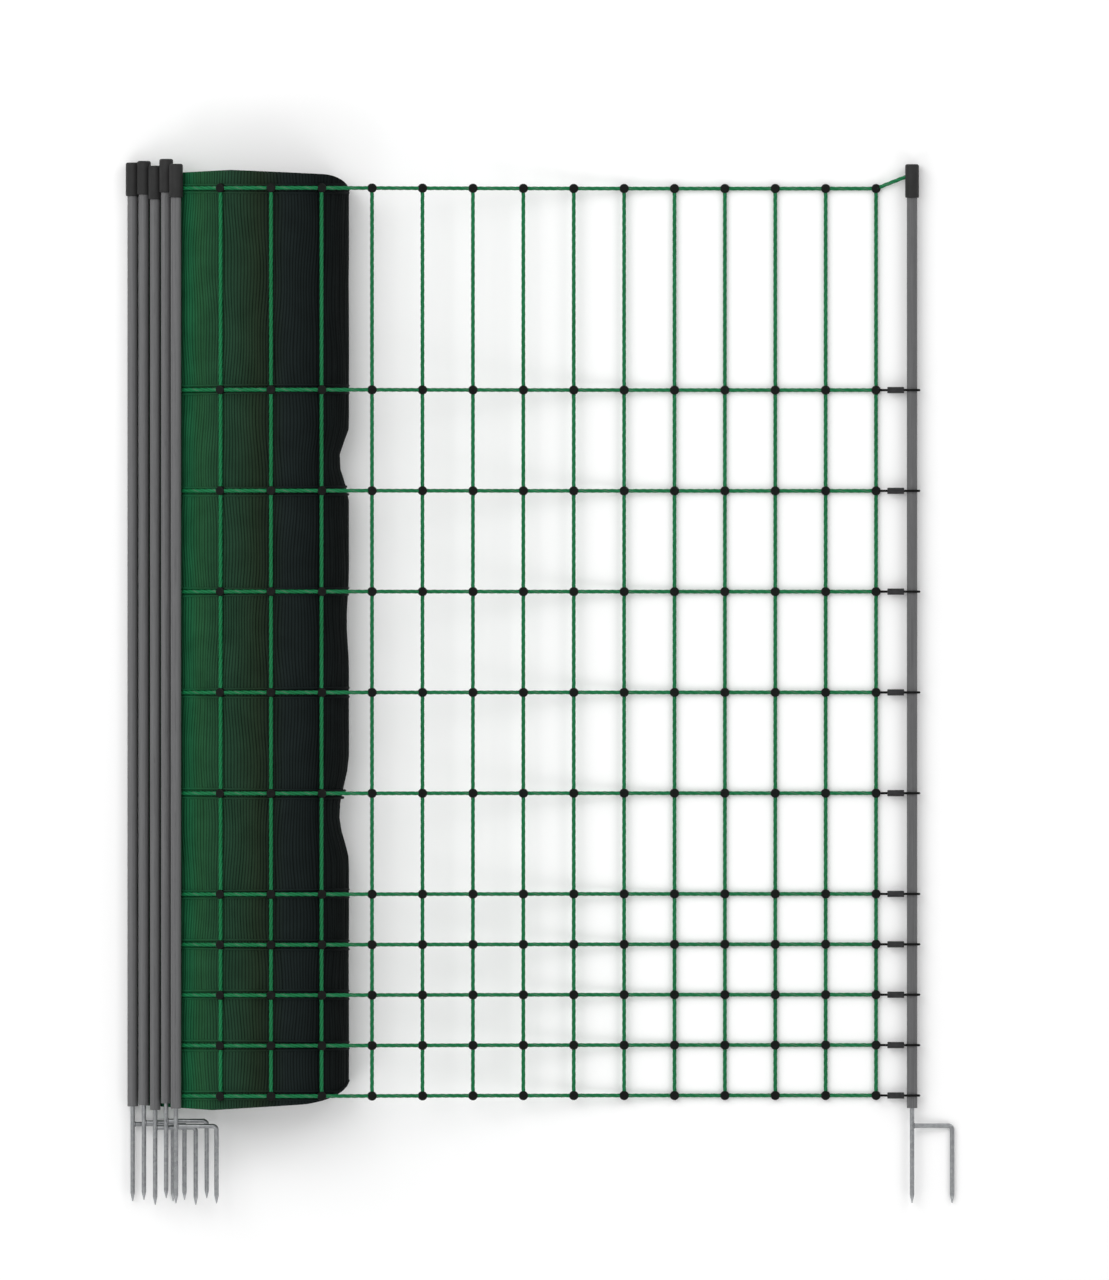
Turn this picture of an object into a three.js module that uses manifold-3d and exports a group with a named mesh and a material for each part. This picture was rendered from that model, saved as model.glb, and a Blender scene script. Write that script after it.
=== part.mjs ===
import * as THREE from 'three';
import { mergeVertices } from 'three/addons/utils/BufferGeometryUtils.js';
import Module from 'manifold-3d';

// Electric poultry netting laid out flat on its back, in millimetres.
// +X runs along the unrolled net, +Y from the spikes to the post caps, +Z up from the floor.
// While the pieces are built, X is 0 at the first upright strand and Y is 0 at the lowest strand.

// Net: upright strands, and live strands that are closer together near the ground
const COLUMN_PITCH = 60;
const COLUMN_COUNT = 14;
const LOW_ROW_PITCH = 60;
const LOW_ROW_GAPS = 4;
const MIDDLE_ROW_PITCH = 120;
const MIDDLE_ROW_GAPS = 5;
const TOP_ROW_PITCH = 240;
const STRAND_WIDTH = 4;
const KNOT_DIAMETER = 11.5;
const KNOT_THICKNESS = 6;

// Roll of the remaining net, slumped on the floor
const ROLL_HEIGHT = 88;
const ROLL_CROWN_X = 62;
const ROLL_RIGHT_X = 153;
const ROLL_BELLY_HEIGHT = 36;
const ROLL_FOOT_INSET = 26;
const ROLL_TOP_OVERHANG = 21.5;
const ROLL_BOTTOM_OVERHANG = 16.8;
const ROLL_TOP_END = { peakX: 12.5, slant: 0.045, cornerDrop: 12, cornerPower: 8 };
const ROLL_BOTTOM_END = { peakX: -10, slant: 0.063, cornerDrop: 20, cornerPower: 4 };
const BORE_SHARE = 0.3;
const TURN_COUNT = 3;
const TURN_GROOVE_DEPTH = 5;
const TURN_GROOVE_SHARE = 0.3;
const ROLL_CURVE_STEPS = 7;
const ROLL_ROUNDNESS = 0.55;
const ROLL_MIDDLE = { crownShare: 0.6, heightShare: 0.42 };
const ROLL_END_MARGIN = 1;
const OUTLINE_SAMPLES = 600;

// Dents pressed into the right side of the roll: where along Y, half length, depth
const DENTS = [
  { y: 324, reach: 68, depth: 11.5 },
  { y: 560, reach: 60, depth: 2.5 },
  { y: 757, reach: 48, depth: 11.5 },
];
const DENT_EDGE_SHARES = [-1, -0.55, 0, 0.55, 1];
const DENT_TO_END = 10;

// Posts
const SHAFT_DIAMETER = 12.5;
const SHAFT_BELOW_NET = 15;
const CAP_DIAMETER = 16.5;
const CAP_LENGTH = 40;
const CAP_ABOVE_NET = 29;
const CAP_EDGE = 2.5;
const SOCKET_DEPTH = 20;
const STRAND_END_SHORT = 2.5;
const STRAND_END_BELOW_CAP_TOP = 13;
const POST_SIDES = 12;

// Bundle: the highest post's distance from the first upright strand, the sideways step
// from post to post, and how far each one has slipped along Y
const HIGHEST_POST_TO_STRAND = 53.3;
const BUNDLE_PITCHES = [13.5, 13.5, 13.2, 11.7];
const BUNDLE_SLIPS = [2, 3.8, -2, 6, 0];

// Double spike
const SPIKE_DIAMETER = 5.4;
const SPIKE_LENGTH = 113;
const SPIKE_POINT_LENGTH = 10;
const SPIKE_TANG = 30;
const STEP_BELOW_SHAFT = 21;
const PRONG_SPACING = 48.3;
const PRONG_BEND_RADIUS = 4.5;
const SPIKE_SIDES = 8;
const SPIKE_TIP_SHARE = 0.15;
const ELBOW_STEPS = 5;
const ELBOW_SHRINK = 0.03;
const ELBOW_OVERLAP = 1;

// Ties
const TIE_CORD_DIAMETER = 2.8;
const FERRULE_DIAMETER = 7.6;
const FERRULE_LENGTH = 20;
const FERRULE_CHAMFER = 0.8;
const KNOT_TO_FERRULE = 7.7;
const FERRULE_TO_LOOP = 1;
const FERRULE_DROP = 1.6;
const FERRULE_CORNER_SHARE = 0.55;
const BORE_CORNER_SHARE = 0.6;
const BORE_OVERRUN = 1;
const TIE_LOOP_TURNS = [215, 250, 290, 330, 0, 30, 70, 110, 145];
const TIE_STEPS = 22;
const TIE_SIDES = 6;

// Fits
const FIT = 0.3;
const KNOT_CLEARANCE = 0.4;
const LOOP_CLEARANCE = 0.8;
const BORE_CLEARANCE = 0.5;

// Where the sloping net comes down to the floor, and how finely its leaving place is looked for
const TOUCHDOWN_X = 590;
const LEAVING_STEP = 0.25;

// Left end of the live strands: its distance from the highest post, and where they bend on the way
const STRAND_TO_POST = 3;
const TAIL_BEND_SHARES = [0.4, 0.7, 1];

// Points of a mesh that are nearer together than this are one point
const MERGE_DISTANCE = 1e-4;

const wasm = await Module();
wasm.setup();

function toSolid(geometry) {
  const bare = geometry.clone();
  bare.deleteAttribute('normal');
  bare.deleteAttribute('uv');
  const merged = mergeVertices(bare, MERGE_DISTANCE);
  return new wasm.Manifold(new wasm.Mesh({
    numProp: 3,
    vertProperties: new Float32Array(merged.attributes.position.array),
    triVerts: new Uint32Array(merged.index.array),
  }));
}

function toGeometry(solid) {
  const mesh = solid.getMesh();
  const geometry = new THREE.BufferGeometry();
  geometry.setAttribute('position', new THREE.Float32BufferAttribute(mesh.vertProperties, 3));
  geometry.setIndex(new THREE.Uint32BufferAttribute(mesh.triVerts, 1));
  geometry.computeVertexNormals();
  return geometry;
}

function addMesh(parent, name, geometry, material) {
  const mesh = new THREE.Mesh(geometry, material);
  mesh.name = name;
  parent.add(mesh);
  return mesh;
}

// Heights of the live strands above the lowest one
function rowHeights() {
  const rows = [0];
  const gaps = [
    ...Array(LOW_ROW_GAPS).fill(LOW_ROW_PITCH),
    ...Array(MIDDLE_ROW_GAPS).fill(MIDDLE_ROW_PITCH),
    TOP_ROW_PITCH,
  ];
  for (const gap of gaps) rows.push(rows[rows.length - 1] + gap);
  return rows;
}

const rows = rowHeights();
const netTop = rows[rows.length - 1];
const lastColumnX = (COLUMN_COUNT - 1) * COLUMN_PITCH;
const shaftRadius = SHAFT_DIAMETER / 2;
const capRadius = CAP_DIAMETER / 2;
const spikeRadius = SPIKE_DIAMETER / 2;
const cordRadius = TIE_CORD_DIAMETER / 2;
const shaftBottom = -SHAFT_BELOW_NET;
const capTop = netTop + CAP_ABOVE_NET;
const capBottom = capTop - CAP_LENGTH;
const knotRadius = KNOT_DIAMETER / 2;
const knotHalf = KNOT_THICKNESS / 2;
const strandHalf = STRAND_WIDTH / 2;

// The tie goes round the post with some slack, and the post lies on these loops
const loopRadius = shaftRadius + LOOP_CLEARANCE + cordRadius;
const ferruleLeft = lastColumnX + knotRadius + KNOT_TO_FERRULE;
const ferruleRight = ferruleLeft + FERRULE_LENGTH;
const endPost = {
  x: ferruleRight + FERRULE_TO_LOOP + loopRadius,
  z: Math.max(loopRadius + cordRadius, capRadius),
  onFloor: true,
};

// The bundled posts climb the flank of the roll, each one resting in the notch of the last
function bundlePosts() {
  const width = BUNDLE_PITCHES.reduce((sum, pitch) => sum + pitch, 0);
  const posts = [{ x: -HIGHEST_POST_TO_STRAND - width, z: capRadius, onFloor: true }];
  for (const pitch of BUNDLE_PITCHES) {
    const last = posts[posts.length - 1];
    const reach = CAP_DIAMETER + FIT;
    const rise = Math.sqrt(Math.max(reach ** 2 - pitch ** 2, 0));
    posts.push({ x: last.x + pitch, z: last.z + rise, onFloor: false });
  }
  return posts;
}

const bundle = bundlePosts();

// Straight flank that the bundle lies on, as the line z = height + slope * x
function flankLine() {
  const first = bundle[0];
  const last = bundle[bundle.length - 1];
  const slope = (last.z - first.z) / (last.x - first.x);
  const stretch = Math.hypot(1, slope);
  const under = bundle.map((post) => post.z - slope * post.x - (capRadius + FIT) * stretch);
  return { slope, height: Math.min(...under) };
}

const flank = flankLine();

// Section of the roll: flat underside, round belly on the right, crown, straight flank on the left
function rollOutline() {
  const toeX = -flank.height / flank.slope;
  const topPost = bundle[bundle.length - 1];
  const flankTopX = topPost.x + capRadius * flank.slope / Math.hypot(1, flank.slope);
  const flankTopZ = flank.height + flank.slope * flankTopX;
  const footX = ROLL_RIGHT_X - ROLL_FOOT_INSET;
  const round = ROLL_ROUNDNESS;
  const beside = ROLL_RIGHT_X - ROLL_CROWN_X;
  const above = ROLL_HEIGHT - ROLL_BELLY_HEIGHT;
  const lean = (ROLL_HEIGHT - flankTopZ) / flank.slope / 2;
  const path = new THREE.Path();
  path.moveTo(toeX, 0);
  path.lineTo(footX, 0);
  path.bezierCurveTo(
    footX + ROLL_FOOT_INSET * round, 0,
    ROLL_RIGHT_X, ROLL_BELLY_HEIGHT * (1 - round),
    ROLL_RIGHT_X, ROLL_BELLY_HEIGHT,
  );
  path.bezierCurveTo(
    ROLL_RIGHT_X, ROLL_BELLY_HEIGHT + above * round,
    ROLL_CROWN_X + beside * round, ROLL_HEIGHT,
    ROLL_CROWN_X, ROLL_HEIGHT,
  );
  path.bezierCurveTo(
    flankTopX + 2 * lean, ROLL_HEIGHT,
    flankTopX + lean, flankTopZ + flank.slope * lean,
    flankTopX, flankTopZ,
  );
  path.lineTo(toeX, 0);
  return path;
}

const outline = rollOutline();

// Upper side of the roll's section, from its widest place on the right to its toe on the left
function upperSide() {
  const points = outline.getSpacedPoints(OUTLINE_SAMPLES);
  const widths = points.map((point) => point.x);
  return points.slice(widths.indexOf(Math.max(...widths)));
}

const rollTopSamples = upperSide();

// Height and slope of the roll's upper side above a point of the floor
function rollTop(x) {
  const samples = rollTopSamples;
  let index = samples.findIndex((point) => point.x < x);
  index = Math.min(Math.max(index, 1), samples.length - 1);
  const right = samples[index - 1];
  const left = samples[index];
  const slope = (right.y - left.y) / (right.x - left.x);
  return { z: left.y + slope * (x - left.x), slope };
}

// Middle plane of the net: over the roll, down in a hanging curve, then along the floor
function overRoll(x) {
  const top = rollTop(x);
  const lift = (knotHalf + KNOT_CLEARANCE) * Math.hypot(1, top.slope);
  return { z: top.z + lift, slope: top.slope };
}

function hangSlope(x) {
  return -2 * (overRoll(x).z - knotHalf) / (TOUCHDOWN_X - x);
}

function findLeavingX() {
  let x = ROLL_CROWN_X;
  const limit = ROLL_RIGHT_X - ROLL_END_MARGIN;
  while (overRoll(x).slope > hangSlope(x) && x < limit) x += LEAVING_STEP;
  return x;
}

const leavingX = findLeavingX();
const leavingZ = overRoll(leavingX).z;

function netPlane(x) {
  if (x <= leavingX) return overRoll(x);
  if (x >= TOUCHDOWN_X) return { z: knotHalf, slope: 0 };
  const span = TOUCHDOWN_X - leavingX;
  const share = (TOUCHDOWN_X - x) / span;
  const drop = leavingZ - knotHalf;
  return { z: knotHalf + drop * share ** 2, slope: -2 * drop * share / span };
}

// A closed mesh gathered from rings of four corners, each face turned away from a point inside
class StrandMesh {
  constructor() {
    this.positions = [];
    this.indices = [];
  }

  vertex(point) {
    this.positions.push(point.x, point.y, point.z);
    return this.positions.length / 3 - 1;
  }

  point(index) {
    return new THREE.Vector3().fromArray(this.positions, index * 3);
  }

  triangle(a, b, c, inside) {
    const first = this.point(a);
    const toB = this.point(b).sub(first);
    const toC = this.point(c).sub(first);
    const outward = first.clone().sub(inside);
    if (toB.cross(toC).dot(outward) > 0) this.indices.push(a, b, c);
    else this.indices.push(a, c, b);
  }

  quad(a, b, c, d, inside) {
    this.triangle(a, b, c, inside);
    this.triangle(a, c, d, inside);
  }

  ringCentre(ring) {
    const sum = new THREE.Vector3();
    for (const index of ring) sum.add(this.point(index));
    return sum.divideScalar(ring.length);
  }

  bridge(ringA, ringB) {
    const inside = this.ringCentre(ringA).add(this.ringCentre(ringB)).divideScalar(2);
    for (let side = 0; side < 4; side += 1) {
      const next = (side + 1) % 4;
      this.quad(ringA[side], ringA[next], ringB[next], ringB[side], inside);
    }
  }

  close(ring, inside) {
    this.quad(ring[0], ring[1], ring[2], ring[3], inside);
  }

  toGeometry() {
    const geometry = new THREE.BufferGeometry();
    geometry.setAttribute('position', new THREE.Float32BufferAttribute(this.positions, 3));
    geometry.setIndex(this.indices);
    geometry.computeVertexNormals();
    return geometry;
  }
}

// Axes of the net where it crosses a given X: along the live strand, along Y, and out of the net
function netAxes(x) {
  const plane = netPlane(x);
  const along = new THREE.Vector3(1, 0, plane.slope).normalize();
  const across = new THREE.Vector3(0, 1, 0);
  const out = new THREE.Vector3().crossVectors(along, across);
  return { along, across, out, z: plane.z };
}

// Four corners of a strand's section at a place, in the plane of two axes
function ringAt(net, centre, sideways, out) {
  const corners = [[-1, -1], [1, -1], [1, 1], [-1, 1]];
  return corners.map(([s, o]) => net.vertex(centre.clone()
    .addScaledVector(sideways, s * strandHalf)
    .addScaledVector(out, o * strandHalf)));
}

// One moulded knot, with a ring of its strand on each of its four sides
function addKnot(net, x, y) {
  const axes = netAxes(x);
  const centre = new THREE.Vector3(x, y, axes.z);
  const diagonal = knotRadius * Math.SQRT1_2;
  const side = (direction, sign, sideways) => ringAt(
    net, centre.clone().addScaledVector(direction, sign * knotRadius), sideways, axes.out,
  );
  const east = side(axes.along, 1, axes.across);
  const west = side(axes.along, -1, axes.across);
  const north = side(axes.across, 1, axes.along);
  const south = side(axes.across, -1, axes.along);
  const corner = (a, b) => [-1, 1].map((o) => net.vertex(centre.clone()
    .addScaledVector(axes.along, a * diagonal)
    .addScaledVector(axes.across, b * diagonal)
    .addScaledVector(axes.out, o * knotHalf)));
  const northEast = corner(1, 1);
  const northWest = corner(-1, 1);
  const southWest = corner(-1, -1);
  const southEast = corner(1, -1);
  // Each ring holds, in order: low near, low far, high far, high near
  const flanks = [
    [east, southEast, northEast],
    [west, southWest, northWest],
    [north, northWest, northEast],
    [south, southWest, southEast],
  ];
  for (const [ring, near, far] of flanks) {
    net.quad(near[0], ring[0], ring[3], near[1], centre);
    net.quad(far[0], ring[1], ring[2], far[1], centre);
    net.quad(near[0], ring[0], ring[1], far[0], centre);
    net.quad(near[1], ring[3], ring[2], far[1], centre);
  }
  for (const level of [0, 1]) {
    net.quad(northEast[level], northWest[level], southWest[level], southEast[level], centre);
  }
  return { centre, east, west, north, south };
}

// Places between two knots where the strand bends: close together over the roll, none on the floor
function bendPlaces(fromX, toX) {
  if (fromX >= TOUCHDOWN_X) return [];
  const count = fromX < leavingX ? 2 : 0;
  return Array.from({ length: count }, (_, i) => fromX + (toX - fromX) * (i + 1) / (count + 1));
}

function addBends(net, ring, places, y) {
  let last = ring;
  for (const x of places) {
    const axes = netAxes(x);
    const next = ringAt(net, new THREE.Vector3(x, y, axes.z), axes.across, axes.out);
    net.bridge(last, next);
    last = next;
  }
  return last;
}

// Left end of the live strands, where they come out from under the highest bundled post
const netStartX = bundle[bundle.length - 1].x + capRadius + STRAND_TO_POST;

// The top strand leaves the last knot at a slant and ends in the side of the end post's cap
const strandStart = new THREE.Vector3(lastColumnX + knotRadius, netTop, knotHalf);
const strandEnd = new THREE.Vector3(
  endPost.x - STRAND_END_SHORT, capTop - STRAND_END_BELOW_CAP_TOP, endPost.z,
);

function buildNet() {
  const net = new StrandMesh();
  const knots = [];
  for (let column = 0; column < COLUMN_COUNT; column += 1) {
    knots.push(rows.map((y) => addKnot(net, column * COLUMN_PITCH, y)));
  }
  for (let column = 0; column < COLUMN_COUNT; column += 1) {
    for (let row = 0; row < rows.length; row += 1) {
      const knot = knots[column][row];
      if (row === 0) net.close(knot.south, knot.centre);
      if (row === rows.length - 1) net.close(knot.north, knot.centre);
      else net.bridge(knot.north, knots[column][row + 1].south);
      if (column < COLUMN_COUNT - 1) {
        const fromX = column * COLUMN_PITCH + knotRadius;
        const toX = (column + 1) * COLUMN_PITCH - knotRadius;
        const last = addBends(net, knot.east, bendPlaces(fromX, toX), rows[row]);
        net.bridge(last, knots[column + 1][row].west);
      }
    }
  }
  for (let row = 0; row < rows.length; row += 1) {
    const first = knots[0][row];
    const places = TAIL_BEND_SHARES.map((share) => netStartX * share);
    const tail = addBends(net, first.west, places, rows[row]);
    net.close(tail, first.centre);
    const last = knots[COLUMN_COUNT - 1][row];
    if (row < rows.length - 1) net.close(last.east, last.centre);
  }
  const across = new THREE.Vector3(0, 1, 0);
  const up = new THREE.Vector3(0, 0, 1);
  const topKnot = knots[COLUMN_COUNT - 1][rows.length - 1];
  const end = ringAt(net, strandEnd, across, up);
  net.bridge(topKnot.east, end);
  net.close(end, topKnot.centre);
  return net.toGeometry();
}

// How far the roll's side is pushed in at a place along Y
function dentDepth(y) {
  let depth = 0;
  for (const dent of DENTS) {
    const share = Math.abs(y - dent.y) / dent.reach;
    if (share < 1) depth += dent.depth * Math.cos(share * Math.PI / 2) ** 2;
  }
  return depth;
}

// Profile of one end, from the outside edge in to the bore: turns with grooves between them
function endProfile(endY, inward) {
  const profile = [];
  const turnWidth = (1 - BORE_SHARE) / TURN_COUNT;
  for (let turn = 0; turn < TURN_COUNT; turn += 1) {
    const outer = 1 - turn * turnWidth;
    const lip = outer - turnWidth * (1 - TURN_GROOVE_SHARE);
    const foot = outer - turnWidth;
    const deep = endY + inward * TURN_GROOVE_DEPTH;
    profile.push([outer, endY], [lip, endY]);
    if (turn < TURN_COUNT - 1) profile.push([lip, deep], [foot, deep]);
  }
  profile[profile.length - 1][0] = BORE_SHARE;
  return profile;
}

// Places along Y where the roll's side needs an edge, so that its dents show
function sidePlaces(bottomY, topY) {
  const places = [];
  for (const dent of DENTS) {
    for (const share of DENT_EDGE_SHARES) places.push(dent.y + share * dent.reach);
  }
  const inside = places.filter((y) => y > bottomY + DENT_TO_END && y < topY - DENT_TO_END);
  return inside.sort((a, b) => a - b);
}

// How far an end of the roll stands back from its highest point: a slant, then a rounded corner
function endDrop(x, end) {
  const beside = (x - ROLL_CROWN_X) / (ROLL_RIGHT_X - ROLL_CROWN_X);
  const corner = THREE.MathUtils.clamp(beside, 0, 1) ** end.cornerPower;
  return end.slant * Math.abs(x - end.peakX) + end.cornerDrop * corner;
}

function buildRoll() {
  const bottomY = -ROLL_BOTTOM_OVERHANG;
  const topY = netTop + ROLL_TOP_OVERHANG;
  const bottomEnd = endProfile(bottomY, 1).reverse();
  const topEnd = endProfile(topY, -1);
  const side = sidePlaces(bottomY, topY).map((y) => [1, y]);
  const profile = [...bottomEnd, ...side, ...topEnd, bottomEnd[0]];
  const points = profile.map(([share, y]) => new THREE.Vector2(share, y));
  const section = outline.getPoints(ROLL_CURVE_STEPS).slice(1);
  const sides = section.length;
  const geometry = new THREE.LatheGeometry(points, sides);
  const middle = new THREE.Vector2(
    ROLL_CROWN_X * ROLL_MIDDLE.crownShare, ROLL_HEIGHT * ROLL_MIDDLE.heightShare,
  );
  const endDepth = TURN_GROOVE_DEPTH + ROLL_END_MARGIN;
  const position = geometry.attributes.position;
  for (let index = 0; index < position.count; index += 1) {
    const step = Math.floor(index / points.length) % sides;
    const { x: share, y } = points[index % points.length];
    const rim = section[sides - 1 - step].clone();
    const rightShare = Math.max(rim.x - ROLL_CROWN_X, 0) / (ROLL_RIGHT_X - ROLL_CROWN_X);
    rim.x -= dentDepth(y) * rightShare ** 2;
    const place = middle.clone().lerp(rim, share);
    let endY = y;
    if (y > topY - endDepth) endY -= endDrop(place.x, ROLL_TOP_END);
    if (y < bottomY + endDepth) endY += endDrop(place.x, ROLL_BOTTOM_END);
    position.setXYZ(index, place.x, endY, place.y);
  }
  return toGeometry(toSolid(geometry));
}

// A turned profile of radius and length, standing on +Y
function turned(points, sides) {
  const profile = points.map(([radius, y]) => new THREE.Vector2(radius, y));
  return new THREE.LatheGeometry(profile, sides);
}

function rod(radius, fromY, toY, sides) {
  return turned([[0, fromY], [radius, fromY], [radius, toY], [0, toY]], sides);
}

// Shaft with a blind hole at its foot for the spike's tang
function buildShaft() {
  const top = capBottom + SOCKET_DEPTH - FIT;
  const holeRadius = spikeRadius + FIT;
  const holeTop = shaftBottom + SPIKE_TANG + FIT;
  return toGeometry(toSolid(turned([
    [0, holeTop],
    [holeRadius, holeTop],
    [holeRadius, shaftBottom],
    [shaftRadius, shaftBottom],
    [shaftRadius, top],
    [0, top],
  ], POST_SIDES)));
}

// Cap with a rounded crown and a blind socket for the shaft
function capSolid() {
  const socketRadius = shaftRadius + FIT;
  return toSolid(turned([
    [0, capBottom + SOCKET_DEPTH],
    [socketRadius, capBottom + SOCKET_DEPTH],
    [socketRadius, capBottom],
    [capRadius - CAP_EDGE / 3, capBottom],
    [capRadius, capBottom + CAP_EDGE / 2],
    [capRadius, capTop - CAP_EDGE],
    [capRadius - CAP_EDGE, capTop],
    [0, capTop],
  ], POST_SIDES));
}

// Blind cross hole of the end cap, along the last stretch of the top strand
function strandHole() {
  const direction = strandEnd.clone().sub(strandStart).normalize();
  const radius = strandHalf * Math.SQRT2 / Math.cos(Math.PI / SPIKE_SIDES) + FIT;
  const hole = rod(radius, -CAP_DIAMETER, radius / 4 + FIT, SPIKE_SIDES);
  const turn = new THREE.Quaternion().setFromUnitVectors(new THREE.Vector3(0, 1, 0), direction);
  hole.applyQuaternion(turn);
  hole.translate(strandEnd.x - endPost.x, strandEnd.y, strandEnd.z - endPost.z);
  return toSolid(hole);
}

// Straight spike with its tang, and the step with its bent prong welded to it
function buildDoubleSpike() {
  const stepY = shaftBottom - STEP_BELOW_SHAFT;
  const tipY = shaftBottom - SPIKE_LENGTH;
  const shoulderY = tipY + SPIKE_POINT_LENGTH;
  const tangTop = shaftBottom + SPIKE_TANG;
  const pointed = (radius, topY) => toSolid(turned([
    [0, tipY], [radius * SPIKE_TIP_SHARE, tipY], [radius, shoulderY], [radius, topY], [0, topY],
  ], SPIKE_SIDES));
  const main = pointed(spikeRadius, tangTop);
  const bend = PRONG_BEND_RADIUS;
  const step = toSolid(rod(spikeRadius, 0, PRONG_SPACING - bend, SPIKE_SIDES)
    .rotateZ(-Math.PI / 2).translate(0, stepY, 0));
  const prong = pointed(spikeRadius, stepY - bend).translate(PRONG_SPACING, 0, 0);
  return toGeometry(main.add(step).add(prong).add(elbow(stepY, bend)));
}

// Quarter bend between the step and the prong, a hair thinner than the rods and let into them
function elbow(stepY, bend) {
  const path = new THREE.CurvePath();
  const start = new THREE.Vector3(PRONG_SPACING - bend, stepY, 0);
  const corner = new THREE.Vector3(PRONG_SPACING, stepY, 0);
  const end = new THREE.Vector3(PRONG_SPACING, stepY - bend, 0);
  path.add(new THREE.LineCurve3(start.clone().setX(start.x - ELBOW_OVERLAP), start));
  path.add(new THREE.QuadraticBezierCurve3(start, corner, end));
  path.add(new THREE.LineCurve3(end, end.clone().setY(end.y - ELBOW_OVERLAP)));
  const section = polygonShape(spikeRadius - ELBOW_SHRINK, SPIKE_SIDES);
  return toSolid(new THREE.ExtrudeGeometry(section, {
    extrudePath: path,
    steps: ELBOW_STEPS,
    bevelEnabled: false,
  }));
}

function polygonShape(radius, sides) {
  const points = Array.from({ length: sides }, (_, i) => {
    const angle = (i + 0.5) * 2 * Math.PI / sides;
    return new THREE.Vector2(radius * Math.cos(angle), radius * Math.sin(angle));
  });
  return new THREE.Shape(points);
}

// Tie: from the knot through the ferrule, round the post, and back into the ferrule
function tiePath() {
  const ferruleZ = endPost.z - FERRULE_DROP;
  const spread = cordRadius + FIT / 2;
  const mouth = cordRadius;
  const startX = lastColumnX + knotRadius + FIT;
  const points = [
    [startX, knotHalf],
    [startX + cordRadius, knotHalf],
    [ferruleLeft - mouth, ferruleZ - spread],
    [ferruleLeft + mouth, ferruleZ - spread],
    [ferruleRight - mouth, ferruleZ - spread],
    [ferruleRight + mouth, ferruleZ - spread],
  ];
  for (const degrees of TIE_LOOP_TURNS) {
    const angle = THREE.MathUtils.degToRad(degrees);
    points.push([endPost.x + loopRadius * Math.cos(angle), endPost.z + loopRadius * Math.sin(angle)]);
  }
  points.push(
    [ferruleRight + mouth, ferruleZ + spread],
    [ferruleRight - mouth, ferruleZ + spread],
    [ferruleLeft + mouth, ferruleZ + spread],
  );
  const places = points.map(([x, z]) => new THREE.Vector3(x, 0, z));
  return new THREE.CatmullRomCurve3(places, false, 'centripetal');
}

function buildTieCord() {
  return toGeometry(toSolid(new THREE.ExtrudeGeometry(polygonShape(cordRadius, TIE_SIDES), {
    extrudePath: tiePath(),
    steps: TIE_STEPS,
    bevelEnabled: false,
  })));
}

// Octagon with its own half width and half height, its corners cut by a share of the width
function ovalPoints(halfWidth, halfHeight, cutShare) {
  const cut = halfWidth * cutShare;
  return [
    [halfWidth, cut - halfHeight], [halfWidth, halfHeight - cut],
    [halfWidth - cut, halfHeight], [cut - halfWidth, halfHeight],
    [-halfWidth, halfHeight - cut], [-halfWidth, cut - halfHeight],
    [cut - halfWidth, -halfHeight], [halfWidth - cut, -halfHeight],
  ].map(([x, y]) => new THREE.Vector2(x, y));
}

// Crimped sleeve, chamfered at both ends, with one bore for both runs of the cord
function buildFerrule() {
  const boreWidth = cordRadius + BORE_CLEARANCE;
  const boreHeight = TIE_CORD_DIAMETER + FIT / 2 + BORE_CLEARANCE;
  const halfWidth = FERRULE_DIAMETER / 2;
  const halfHeight = boreHeight + halfWidth - boreWidth - FERRULE_CHAMFER / 2;
  const outside = new THREE.Shape(ovalPoints(
    halfWidth - FERRULE_CHAMFER, halfHeight - FERRULE_CHAMFER, FERRULE_CORNER_SHARE,
  ));
  const sleeve = new THREE.ExtrudeGeometry(outside, {
    depth: FERRULE_LENGTH - 2 * FERRULE_CHAMFER,
    bevelSize: FERRULE_CHAMFER,
    bevelThickness: FERRULE_CHAMFER,
    bevelSegments: 1,
    steps: 1,
  });
  sleeve.translate(0, 0, FERRULE_CHAMFER);
  const inside = new THREE.Shape(ovalPoints(boreWidth, boreHeight, BORE_CORNER_SHARE));
  const bore = new THREE.ExtrudeGeometry(inside, {
    depth: FERRULE_LENGTH + 2 * BORE_OVERRUN,
    bevelEnabled: false,
  });
  bore.translate(0, 0, -BORE_OVERRUN);
  const solid = toSolid(sleeve).subtract(toSolid(bore));
  return toGeometry(solid).rotateX(Math.PI / 2).rotateZ(Math.PI / 2);
}

const materials = {
  net: new THREE.MeshStandardMaterial({ color: 0x17633b, roughness: 0.55, metalness: 0 }),
  roll: new THREE.MeshStandardMaterial({ color: 0x1f3a2b, roughness: 0.8, metalness: 0 }),
  shaft: new THREE.MeshStandardMaterial({ color: 0x676767, roughness: 0.45, metalness: 0 }),
  cap: new THREE.MeshStandardMaterial({ color: 0x333333, roughness: 0.5, metalness: 0 }),
  spike: new THREE.MeshStandardMaterial({ color: 0xa8a8a8, roughness: 0.35, metalness: 1 }),
  cord: new THREE.MeshStandardMaterial({ color: 0x1c1c1c, roughness: 0.7, metalness: 0 }),
  ferrule: new THREE.MeshStandardMaterial({ color: 0x303030, roughness: 0.5, metalness: 0 }),
};

// One post: shaft, cap and double spike. A post on the floor is turned until its prong meets it.
function buildPost(number, place, slip, cap) {
  const post = new THREE.Group();
  addMesh(post, `post_shaft_${number}`, buildShaft(), materials.shaft);
  addMesh(post, `post_cap_${number}`, toGeometry(cap), materials.cap);
  const spike = addMesh(post, `double_spike_${number}`, buildDoubleSpike(), materials.spike);
  if (place.onFloor) spike.rotation.y = Math.asin((place.z - spikeRadius) / PRONG_SPACING);
  post.position.set(place.x, slip, place.z);
  return post;
}

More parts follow.
